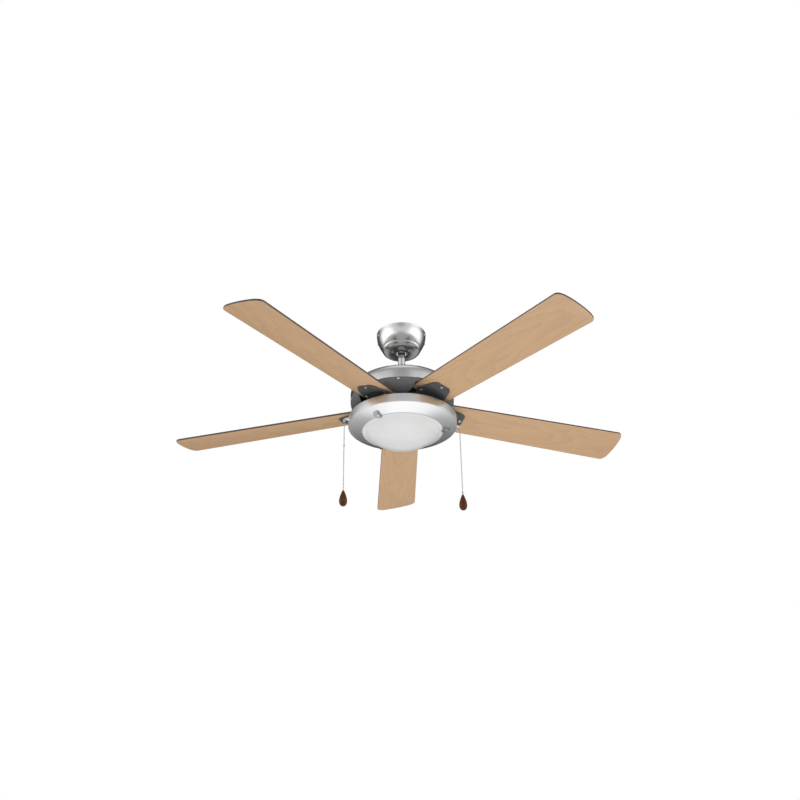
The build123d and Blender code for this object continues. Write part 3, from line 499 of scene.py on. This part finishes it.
COLLAR = moulded("collar_plastic", (0.055, 0.055, 0.058), 0.5)
WHITE = moulded("white_plastic", (0.72, 0.71, 0.68), 0.45)
COPPER = wound_copper("copper_windings")
STEEL = laminated_steel("lamination_steel")
BEECH = blade_board(
    "beech_veneer", (0.73, 0.475, 0.268), (0.63, 0.392, 0.212), (0.515, 0.308, 0.158), 0.42, 0.38
)
WALNUT = blade_board(
    "walnut_veneer", (0.105, 0.058, 0.038), (0.070, 0.038, 0.025), (0.035, 0.018, 0.012), 0.40, 0.45
)
OPAL = opal_glass("opal_glass")
PENDANT = pendant_lacquer("pendant_lacquer")


# ---- pull chains ----
def route_points(top, bottom, azimuth):
    """The route of a chain that hangs straight under its pendant's weight."""
    x = CHAIN_R * math.cos(azimuth)
    y = CHAIN_R * math.sin(azimuth)
    return [(x, y, top), (x, y, (top + bottom) / 2), (x, y, bottom)]


def smooth_route(points):
    """Points along the route's smooth line."""
    curve = bpy.data.curves.new("route", "CURVE")
    curve.dimensions = "3D"
    curve.resolution_u = 60  # points to each stretch of the line
    spline = curve.splines.new("NURBS")
    spline.points.add(len(points) - 1)
    for point, place in zip(spline.points, points):
        point.co = (*place, 1.0)
    spline.order_u = 3
    spline.use_endpoint_u = True
    carrier = bpy.data.objects.new("route", curve)
    bpy.context.scene.collection.objects.link(carrier)
    graph = bpy.context.evaluated_depsgraph_get()
    mesh = bpy.data.meshes.new_from_object(carrier.evaluated_get(graph))
    line = [vertex.co.copy() for vertex in mesh.vertices]
    bpy.data.objects.remove(carrier)
    return line


def places_along(line, pitch):
    """Evenly spaced places along a line of points, with the first and last kept."""
    lengths = [0.0]
    for start, end in zip(line, line[1:]):
        lengths.append(lengths[-1] + (end - start).length)
    total = lengths[-1]
    count = max(1, round(total / pitch))
    places = []
    segment = 0
    for index in range(count + 1):
        wanted = total * index / count
        while segment < len(lengths) - 2 and lengths[segment + 1] < wanted:
            segment += 1
        share = (wanted - lengths[segment]) / (lengths[segment + 1] - lengths[segment])
        places.append(line[segment].lerp(line[segment + 1], share))
    return places, total


def bead_mesh(name, places, radius=BEAD_R):
    """Hollow beads on short links, as a ball chain is made."""
    mesh = bpy.data.meshes.new(name)
    work = bmesh.new()
    for place in places:
        made = bmesh.ops.create_uvsphere(work, u_segments=14, v_segments=9, radius=radius)
        bmesh.ops.translate(work, verts=made["verts"], vec=place)
    for start, end in zip(places, places[1:]):
        middle = (start + end) / 2
        gap = end - start
        turn = gap.to_track_quat("Z", "Y").to_matrix().to_4x4()
        bmesh.ops.create_cone(
            work,
            cap_ends=True,
            segments=8,
            radius1=BEAD_LINK_R,
            radius2=BEAD_LINK_R,
            depth=gap.length - radius,
            matrix=Matrix.Translation(middle) @ turn,
        )
    work.to_mesh(mesh)
    work.free()
    smooth(mesh, math.radians(50))
    return mesh


def make_chain(name, node, body, route):
    """A ball chain along its route."""
    line = smooth_route(route)
    places, length = places_along(line, BEAD_PITCH)
    chain = add_object(name, bead_mesh(name, places), BEAD_METAL, body, (node,))


def make_pull_link(node, body):
    """The beads of the chain that show inside the nozzle's mouth."""
    low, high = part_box(node)
    centre = (low + high) / 2
    heights = (low.z + NOZZLE_BEAD_R / 2, high.z - NOZZLE_BEAD_R / 2)
    places = [Vector((centre.x, centre.y, height)) for height in heights]
    mesh = bead_mesh(node + "_beads", places, NOZZLE_BEAD_R)
    return add_object(node + "_beads", mesh, BEAD_METAL, body, (node,))


def make_connector(node, body):
    """A bell-shaped ball chain connector with its two slotted ends."""
    low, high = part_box(node)
    centre = (low + high) / 2
    outline = [(0.0, low.z), (0.0014, low.z), (0.0021, low.z + 0.0005), (0.0026, low.z + 0.0022)]
    outline += [(0.0026, centre.z - 0.0010), (0.0021, centre.z - 0.0004), (0.0021, centre.z + 0.0004)]
    outline += [(0.0026, centre.z + 0.0010), (0.0026, high.z - 0.0022), (0.0021, high.z - 0.0005)]
    outline += [(0.0014, high.z), (0.0, high.z)]
    mesh = lathe(node + "_bell", outline, False, 40, (centre.x, centre.y))
    return add_object(node + "_bell", mesh, BEAD_METAL, body, (node,))


def make_pendant(node, body):
    """A turned teardrop with a small ferrule where the chain enters."""
    low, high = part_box(node)
    x = (low.x + high.x) / 2
    y = (low.y + high.y) / 2
    length = high.z - low.z
    widest = (high.x - low.x) / 2
    shape = [(0.25, 0.0), (0.37, 0.08), (0.55, 0.19), (0.71, 0.30), (0.87, 0.44), (0.97, 0.58)]
    shape += [(1.0, 0.70), (0.91, 0.82), (0.68, 0.92), (0.40, 0.98), (0.0, 1.0)]
    points = [(share * widest, high.z - drop * length) for share, drop in shape]
    outline = curve_through(points, 6)
    outline = [(0.0, high.z)] + outline
    outline[-1] = (0.0, low.z)
    mesh = lathe(node + "_turning", outline, False, 72, (x, y))
    pendant = add_object(node + "_turning", mesh, PENDANT, body, (node,))
    ferrule = [(0.0, high.z), (0.0019, high.z), (0.0026, high.z - 0.0008), (0.0027, high.z - 0.0022)]
    ferrule += [(0.0031, high.z - 0.0030), (0.0, high.z - 0.0030)]
    ring = lathe(node + "_ferrule", ferrule, False, 40, (x, y))
    add_object(node + "_ferrule", ring, BEAD_METAL, body, ())
    return pendant


def make_pull_chains():
    """The fan's chain in two stretches with a connector between them, and the light's in one."""
    fan_side = CHAIN_AZIMUTH + math.pi
    light_side = CHAIN_AZIMUTH
    fan_link = make_pull_link("fan_pull_link", "fan_pull")
    light_link = make_pull_link("light_pull_link", "light_pull")
    fan_connector = make_connector("fan_connector", "fan_chain_end")
    light_connector = make_connector("light_connector", "light_chain_end")
    fan_pendant = make_pendant("fan_pendant", "fan_chain_end")
    light_pendant = make_pendant("light_pendant", "light_chain_end")
    upper = route_points(CHAIN_TOP_Z, FAN_CHAIN_JOINT_Z, fan_side)
    lower = route_points(FAN_LOWER_TOP_Z, FAN_CHAIN_END_Z, fan_side)
    light = route_points(CHAIN_TOP_Z, LIGHT_CHAIN_END_Z, light_side)
    make_chain(
        "fan_beads_upper", "fan_chain_upper", "fan_chain", upper
    )
    make_chain("fan_beads_lower", "fan_chain_lower", "fan_chain_end", lower)
    make_chain(
        "light_beads",
        "light_chain",
        "light_chain_body",
        light,
    )


make_pull_chains()


# ---- blades ----
def blade_outline():
    """The board's outline as (along, across) points, with a shallow bowed tip and rounded tip corners."""
    end = BLADE_TIP_R - BLADE_TIP_BULGE
    slope = (BLADE_TIP_HALF - BLADE_ROOT_HALF) / (end - BLADE_ROOT_R)
    bow_r = (BLADE_TIP_HALF**2 + BLADE_TIP_BULGE**2) / (2 * BLADE_TIP_BULGE)
    bow_centre = BLADE_TIP_R - bow_r
    corner_x = end - BLADE_TIP_CORNER + 0.0015
    corner_y = BLADE_TIP_HALF - BLADE_TIP_CORNER
    upper = [(BLADE_ROOT_R, BLADE_ROOT_HALF - 0.001), (BLADE_ROOT_R + 0.001, BLADE_ROOT_HALF)]
    along_steps = 24
    for step in range(along_steps + 1):
        x = BLADE_ROOT_R + 0.002 + (corner_x - BLADE_ROOT_R - 0.002) * step / along_steps
        upper.append((x, BLADE_ROOT_HALF + slope * (x - BLADE_ROOT_R)))
    for step in range(1, 12):
        turn = math.radians(90 - 7.0 * step)
        x = corner_x + BLADE_TIP_CORNER * math.cos(turn)
        upper.append((x, corner_y + BLADE_TIP_CORNER * math.sin(turn)))
    last_y = upper[-1][1]
    for step in range(1, 9):
        y = last_y * (1 - step / 8)
        upper.append((bow_centre + math.sqrt(bow_r**2 - y**2), y))
    lower = [(x, -y) for x, y in reversed(upper[:-1])]
    return upper + lower


def shrunk(outline, distance):
    """The outline moved inwards by a distance."""
    result = []
    count = len(outline)
    for index, (x, y) in enumerate(outline):
        before = outline[index - 1]
        after = outline[(index + 1) % count]
        direction = Vector((after[0] - before[0], after[1] - before[1])).normalized()
        result.append((x + direction.y * distance, y - direction.x * distance))
    return result


def blade_frame(azimuth):
    """From the board's own axes, along and across it, to its place on the rotor."""
    turn = Matrix.Rotation(azimuth, 4, "Z")
    droop = Matrix.Rotation(BLADE_DROOP, 4, "Y")
    pitch = Matrix.Rotation(-BLADE_PITCH, 4, "X")
    return Matrix.Translation((0, 0, BLADE_Z)) @ turn @ droop @ pitch


def make_blade(number):
    """One board: beech below, walnut above and on its rounded edges."""
    outline = blade_outline()
    half = BLADE_THICKNESS / 2
    mesh = bpy.data.meshes.new(f"blade_board_{number}")
    work = bmesh.new()
    levels = []
    steps = 5
    for step in range(steps + 1):
        turn = math.radians(-90 + 90 * step / steps)
        inset = BLADE_EDGE_ROUND * (1 - math.cos(turn))
        levels.append((inset, -half + BLADE_EDGE_ROUND * (1 + math.sin(turn))))
    levels += [(inset, -height) for inset, height in reversed(levels)]
    rings = []
    for inset, height in levels:
        ring = [work.verts.new((x, y, height)) for x, y in shrunk(outline, inset)]
        rings.append(ring)
    count = len(outline)
    for lower, upper in zip(rings, rings[1:]):
        for index in range(count):
            following = (index + 1) % count
            work.faces.new((lower[index], lower[following], upper[following], upper[index]))
    work.faces.new(rings[0])
    work.faces.new(list(reversed(rings[-1])))
    bmesh.ops.recalc_face_normals(work, faces=work.faces)
    layer = work.loops.layers.uv.new("board")
    shift = number * BLADE_UV_SHIFT
    for face in work.faces:
        face.material_index = 0 if face.normal.z < -0.7 else 1
        for loop in face.loops:
            place = loop.vert.co
            loop[layer].uv = (place.x + shift, place.y + 0.004 * math.sin(number * 2.1))
    work.to_mesh(mesh)
    work.free()
    smooth(mesh, math.radians(40))
    return mesh


def make_blades():
    for number in range(1, BLADE_COUNT + 1):
        azimuth = BLADE_AZIMUTH + (number - 1) * 2 * math.pi / BLADE_COUNT
        mesh = make_blade(number)
        mesh.transform(blade_frame(azimuth))
        mesh.materials.append(BEECH)
        add_object(f"blade_board_{number}", mesh, WALNUT, ROTOR, (f"blade_{number}",))


make_blades()


# ---- canopy, rod, motor cover, light pan and bowl ----
def bowed_line(start, end, bow, steps=16):
    """Points from start to end along an arc that stands off its chord by bow, to the left of the way."""
    run = end[0] - start[0]
    rise = end[1] - start[1]
    points = []
    for step in range(steps + 1):
        t = step / steps
        off = bow * 4 * t * (1 - t) / math.hypot(run, rise)
        points.append((start[0] + run * t - rise * off, start[1] + rise * t + run * off))
    return points


def make_canopy():
    """A spun bowl in two curves, with a crease between them."""
    outline = [(0.0695, 0.0), (0.0695, -0.0030)]
    outline += bowed_line((0.0694, -0.0034), (0.0550, -0.0474), 0.0036)
    outline += [(0.0544, -0.0478), (0.0545, -0.0482)]
    outline += bowed_line((0.0552, -0.0487), (0.0380, -0.0620), 0.0032)
    outline += [(0.0195, -0.0620), (0.0190, -0.0615), (0.0190, -0.0608), (0.0380, -0.0608)]
    outline += bowed_line((0.0382, -0.0607), (0.0539, -0.0472), -0.0022)
    outline += bowed_line((0.0541, -0.0468), (0.0683, -0.0030), -0.0036)
    outline += [(0.0683, 0.0)]
    mesh = lathe("canopy_bowl", outline)
    add_object("canopy_bowl", mesh, NICKEL, MOUNTING, ("canopy",))


def make_downrod():
    """The rod's tube, 2 mm thick."""
    low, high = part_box("downrod")
    radius = (high.x - low.x) / 2
    outline = [(radius, low.z), (radius, high.z), (radius - 0.002, high.z), (radius - 0.002, low.z)]
    mesh = lathe("rod_tube", outline, True, 72)
    add_object("rod_tube", mesh, ROD_METAL, HANGING, ("downrod",))


def make_top_cover():
    """The silver motor cover: a skirt with a rolled lip, a rounded shoulder and a flat top."""
    shoulder = curve_through(
        [(0.1420, -0.1965), (0.1402, -0.1872), (0.1350, -0.1782), (0.1265, -0.1712), (0.1150, -0.16725)], 6
    )
    outline = [(0.1409, -0.2168), (0.1415, -0.2170), (0.1420, -0.2165), (0.1420, -0.2150)]
    outline += shoulder + [(0.1120, -0.1670), (0.0300, -0.1670), (0.0135, -0.1670), (0.0130, -0.1674)]
    outline += [(0.0130, -0.1682), (0.1110, -0.1682), (0.1250, -0.1718), (0.1345, -0.1795), (0.1395, -0.1890)]
    outline += [(0.1408, -0.1965)]
    mesh = lathe("cover_dish", outline)
    add_object("cover_dish", mesh, NICKEL, HANGING, ("top_cover",))


def make_pan():
    """The spun light pan: a straight wall, a tight lip, a sloping underside and a rolled mouth."""
    outline = [(0.1200, -0.2694), (0.1460, -0.2694)] + arc((0.1460, -0.2709), 0.0015, 90, 0, 4)
    outline += [(0.1475, -0.2916)] + arc((0.1453, -0.2920), 0.0022, 0, -68, 6)
    slope = (-0.2940 + 0.3078) / (0.1465 - 0.1100)
    outline += [(0.1120, -0.3078 + 0.002 * slope)] + arc((0.1112, -0.3068), 0.0009, -70, -190, 5)
    outline += [(0.1100, -0.3050), (0.1035, -0.3067), (0.1035, -0.3055), (0.1112, -0.3028)]
    outline += [(0.1112, -0.3060), (0.1458, -0.2929), (0.1463, -0.2910), (0.1463, -0.2706), (0.1200, -0.2706)]
    mesh = lathe("pan_spinning", outline)
    add_object("pan_spinning", mesh, ALUMINIUM, HANGING, ("fitter_pan",))


def make_bowl():
    """The opal bowl with its flat rim."""
    depth = BOWL_DOME_TOP_Z - BOWL_LOW_Z
    dome_r = (BOWL_DOME_R**2 + depth**2) / (2 * depth)
    centre = BOWL_LOW_Z + dome_r
    edge = math.asin(BOWL_DOME_R / dome_r)
    steps = 40
    outer = []
    for step in range(steps + 1):
        turn = edge * (1 - step / steps)
        outer.append((dome_r * math.sin(turn), centre - dome_r * math.cos(turn)))
    inner_r = dome_r - BOWL_WALL
    inner_edge = math.asin((BOWL_DOME_R - BOWL_WALL) / inner_r)
    inner = []
    for step in range(steps + 1):
        turn = inner_edge * step / steps
        inner.append((inner_r * math.sin(turn), centre - inner_r * math.cos(turn)))
    rim = [(0.1094, -0.3052), (0.1094, -0.3072), (0.1088, -0.3080), (0.1078, -0.3085), (0.1022, -0.3105)]
    mesh = lathe("bowl_blank", rim + outer + inner)
    add_object("bowl_blank", mesh, OPAL, HANGING, ("glass_bowl",))


make_canopy()
make_downrod()
make_top_cover()
make_pan()
make_bowl()

# ---- CAD nodes with eased edges: material, body, slot and width of the bevel ----
EASED = {
    "rotor_shell": (GUNMETAL, ROTOR, "gunmetal", 0.0003),
    "shell_screws": (ZINC, ROTOR, "zinc_steel", 0.0002),
    "blade_screws": (ZINC, ROTOR, "zinc_steel", 0.0002),
    "iron_screws": (ZINC, ROTOR, "zinc_steel", 0.0002),
    "canopy_collar": (COLLAR, MOUNTING, "black_plastic", 0.0003),
    "canopy_screws": (ZINC, MOUNTING, "zinc_steel", 0.0002),
    "collar_screws": (ZINC, MOUNTING, "zinc_steel", 0.0002),
    "ceiling_bracket": (ZINC, MOUNTING, "zinc_steel", 0.0003),
    "hanger_ball": (BLACK, HANGING, "black_plastic", 0.0003),
    "cover_screws": (ZINC, HANGING, "zinc_steel", 0.0002),
    "pan_screws": (ZINC, HANGING, "zinc_steel", 0.0002),
    "clip_screws": (ZINC, HANGING, "zinc_steel", 0.0002),
    "chain_nozzles": (CHROME, HANGING, "chrome_fitting", 0.0003),
    "reverse_knob": (BLACK, "reverse_slider", "black_plastic", 0.0003),
    "glass_clip_1": (CLIP_METAL, "clip_a", "spun_aluminium", 0.0003),
    "glass_clip_2": (CLIP_METAL, "clip_b", "spun_aluminium", 0.0003),
    "glass_clip_3": (CLIP_METAL, "clip_c", "spun_aluminium", 0.0003),
}
# The irons wear the gunmetal enamel darkened with painted shade.
for number in range(1, BLADE_COUNT + 1):
    EASED[f"blade_iron_{number}"] = (IRON_ENAMEL_PAINTED_SHADE, ROTOR, "gunmetal", 0.0003)
for node, (material, body, slot, width) in EASED.items():
    eased_copy(node, node + "_eased", material, body, width)

# ---- CAD nodes that are kept, with new materials ----
KEPT = {
    "ball_liner": WHITE,
    "ball_pin": ZINC,
    "motor_coupling": CAST,
    "coupling_pin": ZINC,
    "coupling_set_screw": ZINC,
    "motor_shaft": ZINC,
    "stator_core": STEEL,
    "stator_windings": COPPER,
    "bearing_inner_rings": CHROME,
    "bearing_outer_rings": CHROME,
    "rotor_ring": STEEL,
    "rotor_upper_bell": CAST,
    "rotor_lower_bell": CAST,
    "light_kit_plate": ALUMINIUM,
    "lampholders": WHITE,
    "bulbs": OPAL,
    "run_capacitor": BLACK,
    "pull_switches": BLACK,
    "reverse_switch": BLACK,
}
for node, material in KEPT.items():
    nodes[node].data.materials.clear()
    nodes[node].data.materials.append(material)


# ---- floor, world and lights ----
def make_floor():
    mesh = bpy.data.meshes.new("floor")
    signs = ((-1, -1), (1, -1), (1, 1), (-1, 1))
    corners = [(x * FLOOR_HALF, y * FLOOR_HALF, FLOOR_Z) for x, y in signs]
    mesh.from_pydata(corners, [], [(0, 1, 2, 3)])
    shader = Shader("pale_floor", (0.80, 0.80, 0.80), 0.7)
    clouds = shader.noise(shader.position(), 2.0)
    shader.colour_from(shader.ramp(clouds, (0.3, (0.84, 0.84, 0.84)), (0.7, (0.88, 0.88, 0.88))))
    floor = bpy.data.objects.new("floor", mesh)
    mesh.materials.append(shader.material)
    bpy.context.scene.collection.objects.link(floor)


def make_world():
    """White behind the object. Its reflections see a room that is bright in front and at both sides,
    dark at the far horizon, with a shade where the camera stands."""
    world = bpy.data.worlds.new("studio")
    bpy.context.scene.world = world
    world.use_nodes = True
    tree = world.node_tree
    tree.nodes.clear()
    direction = tree.nodes.new("ShaderNodeTexCoord").outputs["Generated"]

    def maths(operation, first, second):
        node = tree.nodes.new("ShaderNodeMath")
        node.operation = operation
        for socket, value in zip(node.inputs, (first, second)):
            if isinstance(value, float):
                socket.default_value = value
            else:
                tree.links.new(value, socket)
        return node.outputs[0]

    def lobe(towards, edge, core, low, high):
        """A value that goes from low to high as the direction nears one way. The edge and the core
        are cosines of the angle to that way."""
        dot = tree.nodes.new("ShaderNodeVectorMath")
        dot.operation = "DOT_PRODUCT"
        dot.inputs[1].default_value = Vector(towards).normalized()
        tree.links.new(direction, dot.inputs[0])
        ease = tree.nodes.new("ShaderNodeMapRange")
        ease.interpolation_type = "SMOOTHSTEP"
        for index, value in enumerate((edge, core, low, high), start=1):
            ease.inputs[index].default_value = value
        tree.links.new(dot.outputs["Value"], ease.inputs[0])
        return ease.outputs[0]

    level = lobe((0, 1, 0), -0.15, 0.72, ROOM_LEVEL, 0.06)
    level = maths("MULTIPLY", level, lobe(CAMERA_WAY, 0.84, 0.97, 1.0, 0.42))
    level = maths("MULTIPLY", level, lobe((0, -0.85, 0.53), 0.93, 0.99, 1.0, 0.55))
    level = maths("MULTIPLY", level, lobe((0, 0, 1), 0.50, 0.80, 1.0, 0.55))
    level = maths("ADD", level, lobe((0, -0.1, 1), 0.90, 1.0, 0.0, 0.60))
    for side in (-1, 1):
        level = maths("ADD", level, lobe((side * 0.93, -0.28, -0.22), 0.60, 0.92, 0.0, SIDE_LEVEL))
    room = tree.nodes.new("ShaderNodeBackground")
    tree.links.new(level, room.inputs["Strength"])
    paper = tree.nodes.new("ShaderNodeBackground")
    seen = tree.nodes.new("ShaderNodeLightPath")
    mix = tree.nodes.new("ShaderNodeMixShader")
    output = tree.nodes.new("ShaderNodeOutputWorld")
    for background in (room, paper):
        background.inputs["Color"].default_value = (1.0, 1.0, 1.0, 1.0)
    tree.links.new(seen.outputs["Is Camera Ray"], mix.inputs["Fac"])
    tree.links.new(room.outputs[0], mix.inputs[1])
    tree.links.new(paper.outputs[0], mix.inputs[2])
    tree.links.new(mix.outputs[0], output.inputs["Surface"])


def make_light(name, place, size, power):
    """A large soft box under the fan that looks straight up."""
    data = bpy.data.lights.new(name, "AREA")
    data.shape = "RECTANGLE"
    data.size = size[0]
    data.size_y = size[1]
    data.energy = power
    light = bpy.data.objects.new(name, data)
    bpy.context.scene.collection.objects.link(light)
    light.location = place
    light.rotation_euler = (math.pi, 0, 0)


make_floor()
make_world()
make_light("low_box", (0.0, 0.10, -2.20), (2.6, 2.4), 21)
bpy.context.scene.view_settings.view_transform = "Standard"
